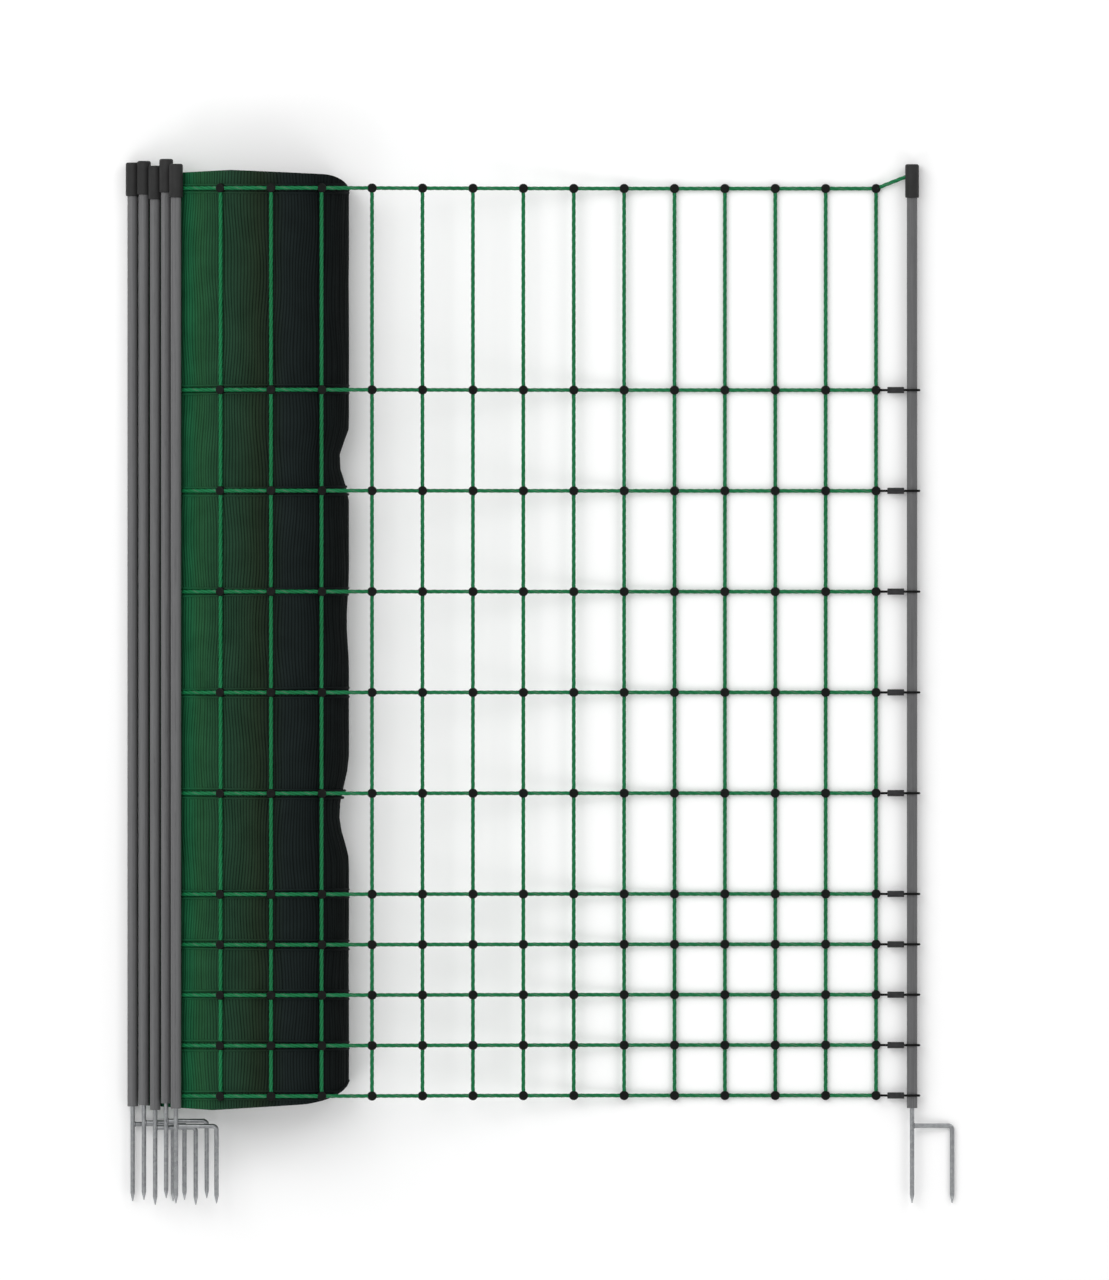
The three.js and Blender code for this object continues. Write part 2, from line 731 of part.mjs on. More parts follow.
const netting = new THREE.Group();
addMesh(netting, 'net_panel', buildNet(), materials.net);
addMesh(netting, 'net_roll', buildRoll(), materials.roll);

bundle.forEach((place, index) => {
  netting.add(buildPost(index + 1, place, BUNDLE_SLIPS[index], capSolid()));
});
netting.add(buildPost(bundle.length + 1, endPost, 0, capSolid().subtract(strandHole())));

rows.slice(0, -1).forEach((y, index) => {
  const tie = new THREE.Group();
  addMesh(tie, `tie_cord_${index + 1}`, buildTieCord(), materials.cord);
  const ferrule = addMesh(tie, `ferrule_${index + 1}`, buildFerrule(), materials.ferrule);
  ferrule.position.set(ferruleLeft, 0, endPost.z - FERRULE_DROP);
  tie.position.y = y;
  netting.add(tie);
});

// The finished model stands on the middle of its own footprint
const box = new THREE.Box3().setFromObject(netting, true);
netting.position.set(-(box.min.x + box.max.x) / 2, -(box.min.y + box.max.y) / 2, -box.min.z);

const group = new THREE.Group();
group.add(netting);

export default group;
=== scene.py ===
import math
import random

import bpy
import numpy as np
from mathutils import Matrix, Vector


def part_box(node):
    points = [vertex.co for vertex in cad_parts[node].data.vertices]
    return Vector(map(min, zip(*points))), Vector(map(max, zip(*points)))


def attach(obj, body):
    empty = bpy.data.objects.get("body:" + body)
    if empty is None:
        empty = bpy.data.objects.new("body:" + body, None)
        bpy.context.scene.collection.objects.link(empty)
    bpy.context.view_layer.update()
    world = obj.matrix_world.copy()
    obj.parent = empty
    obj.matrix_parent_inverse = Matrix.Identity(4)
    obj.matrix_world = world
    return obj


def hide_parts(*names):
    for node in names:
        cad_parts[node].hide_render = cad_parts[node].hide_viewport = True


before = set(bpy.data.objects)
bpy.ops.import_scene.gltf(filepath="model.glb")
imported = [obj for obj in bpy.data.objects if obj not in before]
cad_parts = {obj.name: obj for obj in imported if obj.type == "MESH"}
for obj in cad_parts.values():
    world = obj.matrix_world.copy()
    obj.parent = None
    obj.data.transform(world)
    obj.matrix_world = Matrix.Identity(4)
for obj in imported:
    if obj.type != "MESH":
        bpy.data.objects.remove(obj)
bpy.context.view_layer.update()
mm = 0.001
flatFace = 0.99  # a face whose normal has this much of an axis lies square to it
nearRim = 0.98   # a vertex this far out, as a share of the half size, lies on the rim

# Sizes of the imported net, from which its rows, columns and heights are found
netSizes = {
    "columnPitch": 60 * mm,
    "columnCount": 14,
    "topRow": 1080 * mm,
    "strandRadius": 2.0 * mm,
    "knotRadius": 5.75 * mm,
    "knotHalf": 3.0 * mm,
    "knotToFerrule": 7.7 * mm,
    "ringMargin": 0.2 * mm,
    "ringGap": 4 * mm,
    "smoothReach": 7 * mm,
    "slopeStep": 4 * mm,
}


def boxCentre(node):
    low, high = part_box(node)
    return (low + high) / 2


def netColumns():
    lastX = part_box("ferrule_1")[0].x - netSizes["knotToFerrule"] - netSizes["knotRadius"]
    count = netSizes["columnCount"]
    return [lastX - netSizes["columnPitch"] * (count - 1 - i) for i in range(count)]


def netRows():
    tied = sorted(boxCentre(f"ferrule_{n}").y for n in range(1, 11))
    return tied + [tied[0] + netSizes["topRow"]]


columns = netColumns()
rows = netRows()


def netStations():
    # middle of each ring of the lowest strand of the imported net, as places along X and heights
    reach = netSizes["strandRadius"] + netSizes["ringMargin"]
    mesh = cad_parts["net_panel"].data
    lowest = [v.co for v in mesh.vertices if abs(v.co.y - rows[0]) < reach]
    near = sorted({(round(co.x, 6), round(co.z, 6)) for co in lowest})
    groups = [[near[0]]]
    for place in near[1:]:
        if place[0] - groups[-1][-1][0] > netSizes["ringGap"]:
            groups.append([])
        groups[-1].append(place)
    return [tuple(np.mean(group, axis=0)) for group in groups]


stations = netStations()
stationX = [x for x, z in stations]
stationZ = [z for x, z in stations]


def netHeight(x):
    # height of the net's middle plane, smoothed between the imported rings
    reach = netSizes["smoothReach"]
    near = [np.interp(x + shift, stationX, stationZ) for shift in (-reach, 0, 0, reach)]
    return float(np.mean(near))


def netSlope(x):
    step = netSizes["slopeStep"]
    return (netHeight(x + step) - netHeight(x - step)) / (2 * step)


def deselectAll():
    if bpy.context.object and bpy.context.object.mode != "OBJECT":
        bpy.ops.object.mode_set(mode="OBJECT")
    bpy.ops.object.select_all(action="DESELECT")


def makeActive(thing):
    deselectAll()
    thing.select_set(True)
    bpy.context.view_layer.objects.active = thing


def joinPieces(things, name):
    deselectAll()
    for thing in things:
        thing.select_set(True)
    bpy.context.view_layer.objects.active = things[0]
    bpy.ops.object.join()
    joined = bpy.context.object
    joined.name = name
    return joined


def finishPiece(thing, name, material, slotName, *nodes):
    # the piece's place goes into its mesh, and it rides on the one body
    thing.name = name
    thing.data.name = name
    makeActive(thing)
    bpy.ops.object.transform_apply(location=True, rotation=True, scale=True)
    thing.data.materials.clear()
    thing.data.materials.append(material)
    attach(thing, "root")
    if nodes:
        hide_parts(*nodes)
    return thing


def smoothByAngle(thing, degrees):
    makeActive(thing)
    bpy.ops.object.shade_smooth_by_angle(angle=math.radians(degrees))


def closeShell(thing):
    # a swept tube's end faces are joined to its wall, and all its faces then point outwards
    sameSpot = 0.005 * mm
    makeActive(thing)
    bpy.ops.object.mode_set(mode="EDIT")
    bpy.ops.mesh.select_all(action="SELECT")
    bpy.ops.mesh.remove_doubles(threshold=sameSpot)
    bpy.ops.mesh.normals_make_consistent(inside=False)
    bpy.ops.object.mode_set(mode="OBJECT")


def selectFaces(thing, test):
    # stays in edit mode, with only the faces selected that pass the test
    makeActive(thing)
    bpy.ops.object.mode_set(mode="EDIT")
    bpy.ops.mesh.select_mode(type="FACE")
    bpy.ops.mesh.select_all(action="DESELECT")
    bpy.ops.object.mode_set(mode="OBJECT")
    for face in thing.data.polygons:
        face.select = test(face)
    bpy.ops.object.mode_set(mode="EDIT")


def toLinear(text):
    values = [int(text[i:i + 2], 16) / 255 for i in (0, 2, 4)]
    return [v / 12.92 if v <= 0.04045 else ((v + 0.055) / 1.055) ** 2.4 for v in values] + [1.0]


def addNode(tree, kind, settings=None, links=None):
    node = tree.nodes.new(kind)
    for key, value in (settings or {}).items():
        if isinstance(key, str) and hasattr(node, key):
            setattr(node, key, value)
        else:
            node.inputs[key].default_value = value
    for key, socket in (links or {}).items():
        tree.links.new(socket, node.inputs[key])
    return node


def setRamp(node, stops):
    ramp = node.color_ramp
    while len(ramp.elements) < len(stops):
        ramp.elements.new(0.5)
    for element, (place, color) in zip(ramp.elements, stops):
        element.position = place
        element.color = toLinear(color)
    return node


def multiplyColors(tree, factor, first, second):
    mix = addNode(tree, "ShaderNodeMix", {"data_type": "RGBA", "blend_type": "MULTIPLY", 0: factor})
    tree.links.new(first, mix.inputs[6])
    tree.links.new(second, mix.inputs[7])
    return mix.outputs[2]


def newMaterial(name, roughness, metallic=0.0, specular=0.5):
    material = bpy.data.materials.new(name)
    material.use_nodes = True
    tree = material.node_tree
    shader = tree.nodes["Principled BSDF"]
    shader.inputs["Roughness"].default_value = roughness
    shader.inputs["Metallic"].default_value = metallic
    shader.inputs["Specular IOR Level"].default_value = specular
    place = addNode(tree, "ShaderNodeTexCoord").outputs["Object"]
    return material, tree, shader, place


def addBump(tree, shader, height, distance, strength=1.0):
    bump = addNode(tree, "ShaderNodeBump", {"Strength": strength, "Distance": distance}, {"Height": height})
    tree.links.new(bump.outputs["Normal"], shader.inputs["Normal"])
    return bump


# Materials
def strandMaterial(name, withSteel):
    # twisted polyethylene yarn, dyed green in the melt: satin, with painted shade darkening the grooves
    # between the plies
    material, tree, shader, place = newMaterial(name, 0.5, specular=0.16)
    shade = addNode(tree, "ShaderNodeTexNoise", {"Scale": 1 / (45 * mm), "Detail": 3.0}, {"Vector": place})
    green = setRamp(addNode(tree, "ShaderNodeValToRGB", links={"Fac": shade.outputs["Fac"]}),
                    [(0.3, "0e6a3c"), (0.7, "177547")])
    # painted shade: the colour is darkened where the section lies deep, in the grooves between the plies
    groove = addNode(tree, "ShaderNodeAttribute", {"attribute_name": "grooveShadeMask"})
    paintedGrooveShade = setRamp(addNode(tree, "ShaderNodeValToRGB", links={"Fac": groove.outputs["Fac"]}),
                   [(0.0, "b4b4b4"), (0.5, "ffffff")])
    color = multiplyColors(tree, 1.0, green.outputs["Color"], paintedGrooveShade.outputs["Color"])
    if withSteel:
        # fine stainless wires lie in one groove of a live strand
        wire = addNode(tree, "ShaderNodeAttribute", {"attribute_name": "wire"})
        steel = setRamp(addNode(tree, "ShaderNodeValToRGB", links={"Fac": wire.outputs["Fac"]}),
                        [(0.72, "000000"), (0.9, "8a8f8c")])
        mix = addNode(tree, "ShaderNodeMix", {"data_type": "RGBA", "blend_type": "LIGHTEN", 0: 0.6})
        tree.links.new(color, mix.inputs[6])
        tree.links.new(steel.outputs["Color"], mix.inputs[7])
        color = mix.outputs[2]
    tree.links.new(color, shader.inputs["Base Color"])
    fibre = addNode(tree, "ShaderNodeTexNoise", {"Scale": 1 / (0.8 * mm), "Detail": 2.0}, {"Vector": place})
    addBump(tree, shader, fibre.outputs["Fac"], 0.15 * mm, 0.5)
    return material


def knotMaterial():
    # black polyethylene moulded round each crossing: satin, with a faint tool grain
    material, tree, shader, place = newMaterial("mouldedKnot", 0.5, specular=0.12)
    tone = addNode(tree, "ShaderNodeTexNoise", {"Scale": 1 / (9 * mm), "Detail": 2.0}, {"Vector": place})
    black = setRamp(addNode(tree, "ShaderNodeValToRGB", links={"Fac": tone.outputs["Fac"]}),
                    [(0.3, "080908"), (0.7, "101210")])
    tree.links.new(black.outputs["Color"], shader.inputs["Base Color"])
    grain = addNode(tree, "ShaderNodeTexNoise", {"Scale": 1 / (0.5 * mm), "Detail": 3.0}, {"Vector": place})
    addBump(tree, shader, grain.outputs["Fac"], 0.1 * mm, 0.4)
    return material


def woundMaterial(leftX, rightX):
    # the imported turns of green strand, with painted shade: the colour runs from green at the left to near
    # black at the right, standing in for the roll's shading
    material, tree, shader, place = newMaterial("woundNet", 0.65, specular=0.05)
    split = addNode(tree, "ShaderNodeSeparateXYZ", links={"Vector": place})
    share = addNode(tree, "ShaderNodeMapRange", {"From Min": leftX, "From Max": rightX},
                    {"Value": split.outputs["X"]})
    # painted shade across the roll, from green at the left to near black at the right
    tone = setRamp(addNode(tree, "ShaderNodeValToRGB", links={"Fac": share.outputs["Result"]}),
                   [(0.04, "1d613e"), (0.1, "255636"), (0.28, "22412f"), (0.46, "202f20"), (0.61, "1b2423"),
                    (0.77, "141b1b"), (0.95, "101414")])
    # painted shade: the colour is darkened in the grooves between the ribs and between the turns, through
    # the mask attribute
    groove = addNode(tree, "ShaderNodeAttribute", {"attribute_name": "grooveShadeMask"})
    paintedGrooveShade = setRamp(addNode(tree, "ShaderNodeValToRGB", links={"Fac": groove.outputs["Fac"]}),
                   [(0.0, "969696"), (0.8, "ffffff")])
    color = multiplyColors(tree, 1.0, tone.outputs["Color"], paintedGrooveShade.outputs["Color"])
    patch = addNode(tree, "ShaderNodeTexNoise", {"Scale": 1 / (30 * mm), "Detail": 4.0}, {"Vector": place})
    worn = setRamp(addNode(tree, "ShaderNodeValToRGB", links={"Fac": patch.outputs["Fac"]}),
                   [(0.3, "e0e0e0"), (0.7, "ffffff")])
    color = multiplyColors(tree, 1.0, color, worn.outputs["Color"])
    tree.links.new(color, shader.inputs["Base Color"])
    fibre = addNode(tree, "ShaderNodeTexNoise", {"Scale": 1 / (1.2 * mm), "Detail": 2.0}, {"Vector": place})
    addBump(tree, shader, fibre.outputs["Fac"], 0.2 * mm, 0.5)
    return material


def shaftMaterial():
    # grey PVC, extruded: satin with faint lines along its length
    material, tree, shader, place = newMaterial("extrudedPvc", 0.45, specular=0.16)
    stretch = addNode(tree, "ShaderNodeMapping", {"Scale": (1.0, 0.02, 1.0)}, {"Vector": place})
    lines = addNode(tree, "ShaderNodeTexNoise", {"Scale": 1 / (1.6 * mm), "Detail": 3.0},
                    {"Vector": stretch.outputs["Vector"]})
    grey = setRamp(addNode(tree, "ShaderNodeValToRGB", links={"Fac": lines.outputs["Fac"]}),
                   [(0.25, "636364"), (0.75, "6e6e6f")])
    tree.links.new(grey.outputs["Color"], shader.inputs["Base Color"])
    addBump(tree, shader, lines.outputs["Fac"], 0.08 * mm, 0.5)
    return material


def capMaterial():
    # dark grey polypropylene, injection moulded with a fine spark-eroded grain
    material, tree, shader, place = newMaterial("mouldedPolypropylene", 0.5, specular=0.13)
    tone = addNode(tree, "ShaderNodeTexNoise", {"Scale": 1 / (14 * mm), "Detail": 2.0}, {"Vector": place})
    grey = setRamp(addNode(tree, "ShaderNodeValToRGB", links={"Fac": tone.outputs["Fac"]}),
                   [(0.3, "292929"), (0.7, "2f2f2f")])
    tree.links.new(grey.outputs["Color"], shader.inputs["Base Color"])
    grain = addNode(tree, "ShaderNodeTexNoise", {"Scale": 1 / (0.45 * mm), "Detail": 3.0},
                    {"Vector": place})
    addBump(tree, shader, grain.outputs["Fac"], 0.12 * mm, 0.5)
    return material


def steelMaterial():
    # hot-dip galvanised rod: dull zinc with a spangle of a few millimetres
    material, tree, shader, place = newMaterial("galvanisedSteel", 0.36, 1.0)
    spangle = addNode(tree, "ShaderNodeTexVoronoi", {"Scale": 1 / (3.2 * mm)}, {"Vector": place})
    zinc = setRamp(addNode(tree, "ShaderNodeValToRGB", links={"Fac": spangle.outputs["Color"]}),
                   [(0.1, "919395"), (0.9, "a6a8aa")])
    tree.links.new(zinc.outputs["Color"], shader.inputs["Base Color"])
    cloud = addNode(tree, "ShaderNodeTexNoise", {"Scale": 1 / (2.0 * mm), "Detail": 4.0}, {"Vector": place})
    addBump(tree, shader, cloud.outputs["Fac"], 0.12 * mm, 0.5)
    return material


def weldMaterial():
    # arc weld bead under cold zinc spray: darker and duller than the rod
    material, tree, shader, place = newMaterial("weldBead", 0.5, 0.9)
    cloud = addNode(tree, "ShaderNodeTexNoise", {"Scale": 1 / (1.5 * mm), "Detail": 4.0}, {"Vector": place})
    tone = setRamp(addNode(tree, "ShaderNodeValToRGB", links={"Fac": cloud.outputs["Fac"]}),
                   [(0.3, "7a7b7d"), (0.7, "939496")])
    tree.links.new(tone.outputs["Color"], shader.inputs["Base Color"])
    addBump(tree, shader, cloud.outputs["Fac"], 0.2 * mm, 0.7)
    return material


def cordMaterial():
    # black braided polyester cord: matt, with a braid cell of about 0.9 mm
    material, tree, shader, place = newMaterial("braidedPolyester", 0.75, specular=0.08)
    braid = addNode(tree, "ShaderNodeTexVoronoi", {"Scale": 1 / (0.9 * mm)}, {"Vector": place})
    black = setRamp(addNode(tree, "ShaderNodeValToRGB", links={"Fac": braid.outputs["Distance"]}),
                    [(0.0, "1f1f1f"), (0.6, "0e0e0e")])
    tree.links.new(black.outputs["Color"], shader.inputs["Base Color"])
    addBump(tree, shader, braid.outputs["Distance"], 0.25 * mm, 0.6)
    return material


def ferruleMaterial():
    # dark nylon sleeve, moulded and then crimped
    material, tree, shader, place = newMaterial("crimpedNylon", 0.45, specular=0.13)
    tone = addNode(tree, "ShaderNodeTexNoise", {"Scale": 1 / (6 * mm), "Detail": 3.0}, {"Vector": place})
    grey = setRamp(addNode(tree, "ShaderNodeValToRGB", links={"Fac": tone.outputs["Fac"]}),
                   [(0.3, "2a2a2b"), (0.7, "363637")])
    tree.links.new(grey.outputs["Color"], shader.inputs["Base Color"])
    grain = addNode(tree, "ShaderNodeTexNoise", {"Scale": 1 / (0.4 * mm), "Detail": 2.0}, {"Vector": place})
    addBump(tree, shader, grain.outputs["Fac"], 0.08 * mm, 0.5)
    return material


# Strands: three plies twisted together, swept along a path
strandSettings = {
    "radius": 2.45 * mm,
    "lay": 28 * mm,
    "step": 2.6 * mm,
    "plies": 3,
    "plyShare": 0.7,
    "plyTurn": 44,
    "grooveShare": 0.72,
    "smoothAngle": 70,
    "endInKnotShare": 0.55,
    # left end of the live strands, from the first upright strand: start, where it dives, how deep
    "tailStart": -47.5 * mm,
    "tailDive": -34 * mm,
    "tailDepth": 5.0 * mm,
    "tailSlopeReach": 6 * mm,
    "livePlaces": 6 * mm,
    # top strand's end in the cap: left of its axis, and below its top
    "endLeftOfAxis": 2.5 * mm,
    "endBelowTop": 13 * mm,
}


def plyProfile(settings):
    # outline of the plies' section: three points on each ply, and one in each groove
    plyRadius = settings["radius"] * settings["plyShare"]
    groove = settings["radius"] * settings["grooveShare"]
    reach = settings["radius"] - plyRadius
    points = []
    for ply in range(settings["plies"]):
        middle = 2 * math.pi * ply / settings["plies"]
        for turn in (-settings["plyTurn"], 0, settings["plyTurn"]):
            angle = middle + math.radians(turn)
            points.append((reach * math.cos(middle) + plyRadius * math.cos(angle),
                           reach * math.sin(middle) + plyRadius * math.sin(angle)))
        between = middle + math.pi / settings["plies"]
        points.append((groove * math.cos(between), groove * math.sin(between)))
    return points


def profileCurve(points):
    data = bpy.data.curves.new("plySection", "CURVE")
    data.dimensions = "2D"
    spline = data.splines.new("POLY")
    spline.points.add(len(points) - 1)
    for point, (x, y) in zip(spline.points, points):
        point.co = (x, y, 0, 1)
    spline.use_cyclic_u = True
    thing = bpy.data.objects.new("plySection", data)
    bpy.context.scene.collection.objects.link(thing)
    return thing


def resample(points, step):
    # evenly spaced places along a broken line
    lengths = [0.0]
    for first, second in zip(points, points[1:]):
        lengths.append(lengths[-1] + (second - first).length)
    count = max(2, round(lengths[-1] / step) + 1)
    wanted = np.linspace(0, lengths[-1], count)
    axes = [np.interp(wanted, lengths, [p[axis] for p in points]) for axis in range(3)]
    return [Vector(place) for place in zip(*axes)]


def sweep(name, paths, section, turnPerMetre=0.0, cyclic=False):
    # one mesh from a section swept along several paths, turning steadily as it goes
    data = bpy.data.curves.new(name, "CURVE")
    data.dimensions = "3D"
    data.bevel_mode = "OBJECT"
    data.bevel_object = section
    data.use_fill_caps = not cyclic
    # twisted strands turn from a level start; a round cord may run upright, where Z_UP would pinch it
    data.twist_mode = "Z_UP" if turnPerMetre else "MINIMUM"
    for path in paths:
        spline = data.splines.new("POLY")
        spline.points.add(len(path) - 1)
        gone = 0.0
        for index, place in enumerate(path):
            if index:
                gone += (place - path[index - 1]).length
            spline.points[index].co = (*place, 1)
            spline.points[index].tilt = gone * turnPerMetre
        spline.use_cyclic_u = cyclic
    thing = bpy.data.objects.new(name, data)
    bpy.context.scene.collection.objects.link(thing)
    makeActive(thing)
    bpy.ops.object.convert(target="MESH")
    return bpy.context.object


def markShadeMaskAndWire(mesh, profile):
    # attributes that follow the plies: how far out a point of the section is, which the materials use as
    # the mask for painted shade in the grooves, and the wires' groove
    reach = [math.hypot(*point) for point in profile]
    low, high = min(reach), max(reach)
    grooveShadeMask = mesh.attributes.new("grooveShadeMask", "FLOAT", "POINT")
    wire = mesh.attributes.new("wire", "FLOAT", "POINT")
    wireIndex = reach.index(low)
    count = len(profile)
    for index in range(len(mesh.vertices)):
        which = index % count
        grooveShadeMask.data[index].value = (reach[which] - low) / (high - low)
        wire.data[index].value = 1.0 if which == wireIndex else 0.0


def uprightPath(x):
    reach = netSizes["knotRadius"] * strandSettings["endInKnotShare"]
    z = netHeight(x)
    ends = [Vector((x, rows[0] - reach, z)), Vector((x, rows[-1] + reach, z))]
    return resample(ends, strandSettings["step"])


def livePath(y, isTop):
    # from the tucked-in start on the roll to the last knot, or into the end post's cap
    s = strandSettings
    firstX = columns[0]
    places = []
    x = firstX + s["tailStart"]
    while x < columns[-1]:
        z = netHeight(max(x, stationX[0]))
        below = firstX + s["tailDive"] - x
        if x < stationX[0]:
            z += (x - stationX[0]) * netSlope(stationX[0] + s["tailSlopeReach"])
        if below > 0:
            z -= s["tailDepth"] * (below / (s["tailDive"] - s["tailStart"])) ** 2
        places.append(Vector((x, y, z)))
        x += s["livePlaces"]
    places.append(Vector((columns[-1], y, netHeight(columns[-1]))))
    if isTop:
        low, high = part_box("post_cap_6")
        endX = (low.x + high.x) / 2 - s["endLeftOfAxis"]
        places.append(Vector((endX, high.y - s["endBelowTop"], (low.z + high.z) / 2)))
    return resample(places, s["step"])


def buildStrands():
    profile = plyProfile(strandSettings)
    section = profileCurve(profile)
    turn = 2 * math.pi / strandSettings["lay"]
    upright = sweep("uprightStrands", [uprightPath(x) for x in columns], section, turn)
    markShadeMaskAndWire(upright.data, profile)
    live = sweep("liveStrands", [livePath(y, y == rows[-1]) for y in rows], section, turn)
    markShadeMaskAndWire(live.data, profile)
    for thing in (upright, live):
        closeShell(thing)
        smoothByAngle(thing, strandSettings["smoothAngle"])
    plain = strandMaterial("twistedYarn", False)
    wired = strandMaterial("liveYarn", True)
    finishPiece(upright, "uprightStrands", plain, "net_strand", "net_panel")
    finishPiece(live, "liveStrands", wired, "net_strand", "net_panel")
    bpy.data.objects.remove(section, do_unlink=True)
    print("strands:", len(upright.data.polygons), len(live.data.polygons))


# Knots: a moulded bead round each crossing
knotSettings = {
    "sides": 14,
    "radius": 5.75 * mm,
    "halfHeight": 2.95 * mm,
    "edge": 1.7 * mm,
    "edgeSegments": 3,
    "dimpleInset": 0.28,
    "dimpleDepth": 0.35 * mm,
    "smoothAngle": 35,
}


def modelKnot():
    s = knotSettings
    half = s["halfHeight"]
    deselectAll()
    bpy.ops.mesh.primitive_cylinder_add(vertices=s["sides"], radius=s["radius"], depth=2 * half)
    knot = bpy.context.object
    # all its edges are rounded, the upright ones too
    bpy.ops.object.mode_set(mode="EDIT")
    bpy.ops.mesh.select_mode(type="EDGE")
    bpy.ops.mesh.select_all(action="SELECT")
    bpy.ops.mesh.bevel(offset=s["edge"], segments=s["edgeSegments"])
    bpy.ops.object.mode_set(mode="OBJECT")
    # the gate mark: a shallow dimple in the top
    selectFaces(knot, lambda face: face.normal.z > flatFace and len(face.vertices) > 4)
    bpy.ops.mesh.inset(thickness=s["radius"] * s["dimpleInset"])
    bpy.ops.transform.translate(value=(0, 0, -s["dimpleDepth"]))
    bpy.ops.object.mode_set(mode="OBJECT")
    return knot


def buildKnots():
    knot = modelKnot()
    copies = []
    for x in columns:
        tilt = Matrix.Rotation(-math.atan(netSlope(x)), 4, "Y")
        for y in rows:
            copy = knot.copy()
            copy.data = knot.data.copy()
            copy.matrix_world = Matrix.Translation((x, y, netHeight(x))) @ tilt
            bpy.context.scene.collection.objects.link(copy)
            copies.append(copy)
    bpy.data.objects.remove(knot, do_unlink=True)
    knots = joinPieces(copies, "netKnots")
    smoothByAngle(knots, knotSettings["smoothAngle"])
    finishPiece(knots, "netKnots", knotMaterial(), "net_strand", "net_panel")
    print("knots:", len(knots.data.polygons))


# Roll: one wound body whose side is ribbed by its upright strands and whose ends show the turns
rollSettings = {
    "ribs": 150,
    "pointsPerRib": 4,
    "ribDepth": 0.9 * mm,
    "skin": -0.4 * mm,
    "sideRings": 64,
    "endRings": 34,
    "turns": 7,
    "boreShare": 0.3,
    "turnDepth": 3.6 * mm,
    # how far the ribs stray sideways: two waves of (share, turns along Y, turns round, start)
    "wander": 2.4 * mm,
    "wanderWaves": ((1.0, 21, 3, 0), (0.5, 53, -5, 1)),
    "perimeter": 0.62,
    "ribSharpness": 0.7,
    "ribUnevenness": 0.5 * mm,
    "ribWave": 30,
    "turnSharpness": 0.6,
    "plainRimShare": 0.985,
    "grooveShade": 0.35,
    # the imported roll's section: a place along Y without a dent, its sampling and easing
    "plainRing": 805 * mm,
    "ringMargin": 0.3 * mm,
    "sectionStep": 2 * mm,
    "sectionReach": 5,
    "middleShift": (10 * mm, -7 * mm),
    "topOverhang": 21.5 * mm,
    "bottomOverhang": 16.8 * mm,
    "aboveFloor": 0.05 * mm,
    # left end of the painted shade gradient across the roll, measured from the first upright strand
    "shadeGradientStart": -46 * mm,
    "smoothAngle": 75,
    "seed": 7,
}
dents = [
    {"y": 324 * mm, "reach": 68 * mm, "depth": 11.5 * mm},
    {"y": 560 * mm, "reach": 60 * mm, "depth": 2.5 * mm},
    {"y": 757 * mm, "reach": 48 * mm, "depth": 11.5 * mm},
]
rollTopEnd = {"peakX": 12.5 * mm, "slant": 0.045, "cornerReach": 32 * mm, "cornerDrop": 19 * mm}
rollBottomEnd = {"peakX": -10 * mm, "slant": 0.063, "cornerReach": 60 * mm, "cornerDrop": 26 * mm}
crownX = columns[0] + 62 * mm
rollLow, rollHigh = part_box("net_roll")


def rollSection(count):
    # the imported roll's own section where it has no dent, evenly resampled and its corners eased
    s = rollSettings
    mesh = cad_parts["net_roll"].data
    ringY = rows[0] + s["plainRing"]
    onRing = [v.co for v in mesh.vertices if abs(v.co.y - ringY) < s["ringMargin"]]
    ring = {(round(co.x, 5), round(co.z, 5)) for co in onRing}
    middle = rollMiddle()
    corners = sorted(ring, key=lambda p: math.atan2(p[1] - middle.z, p[0] - middle.x))
    loop = [Vector((x, 0, z)) for x, z in corners]
    fine = resample(loop + [loop[0]], s["sectionStep"])[:-1]
    eased = []
    reach = s["sectionReach"]
    for index in range(len(fine)):
        near = [fine[(index + shift) % len(fine)] for shift in range(-reach, reach + 1)]
        eased.append(sum(near, Vector()) / len(near))
    closed = eased + [eased[0]]
    lengths = np.cumsum([0.0] + [(b - a).length for a, b in zip(closed, closed[1:])])
    wanted = np.linspace(0, lengths[-1], count, endpoint=False)
    xs = np.interp(wanted, lengths, [p.x for p in closed])
    zs = np.interp(wanted, lengths, [p.z for p in closed])
    return np.column_stack([xs, zs])


def rollMiddle():
    # the place in the section that the turns lie round
    centre = (rollLow + rollHigh) / 2
    right, up = rollSettings["middleShift"]
    return Vector((centre.x + right, 0, centre.z + up))


def dentDepth(y):
    depth = 0.0
    for dent in dents:
        share = abs(y - rows[0] - dent["y"]) / dent["reach"]
        if share < 1:
            depth += dent["depth"] * math.cos(share * math.pi / 2) ** 2
    return depth


def endDrop(x, end):
    # how far an end stands back at a place along X: a slant, then a corner rounded as an ellipse
    beside = min(max((x - rollHigh.x) / end["cornerReach"] + 1, 0), 1)
    corner = end["cornerDrop"] * (1 - math.sqrt(1 - beside ** 2))
    return end["slant"] * abs(x - columns[0] - end["peakX"]) + corner


def rollEndY(part, x):
    # where the roll ends along Y at a place along X
    if part == "top":
        return rows[-1] + rollSettings["topOverhang"] - endDrop(x, rollTopEnd)
    return rows[0] - rollSettings["bottomOverhang"] + endDrop(x, rollBottomEnd)


def rollPoint(rim, share, y):
    # a place on the roll from its section's rim point, its share of the way out, and Y
    rightShare = max(rim[0] - crownX, 0) / (rollHigh.x - crownX)
    middle = rollMiddle()
    rimX = rim[0] - dentDepth(y) * rightShare ** 2
    return middle.x + (rimX - middle.x) * share, middle.z + (rim[1] - middle.z) * share


def ridge(phase, sharpness):
    # height of a rounded ridge from one groove to the next
    return abs(math.sin(math.pi * phase)) ** sharpness


def ribWander(y, angle):
    waves = [share * math.sin(y * along + angle * round + start)
             for share, along, round, start in rollSettings["wanderWaves"]]
    return rollSettings["wander"] * sum(waves)


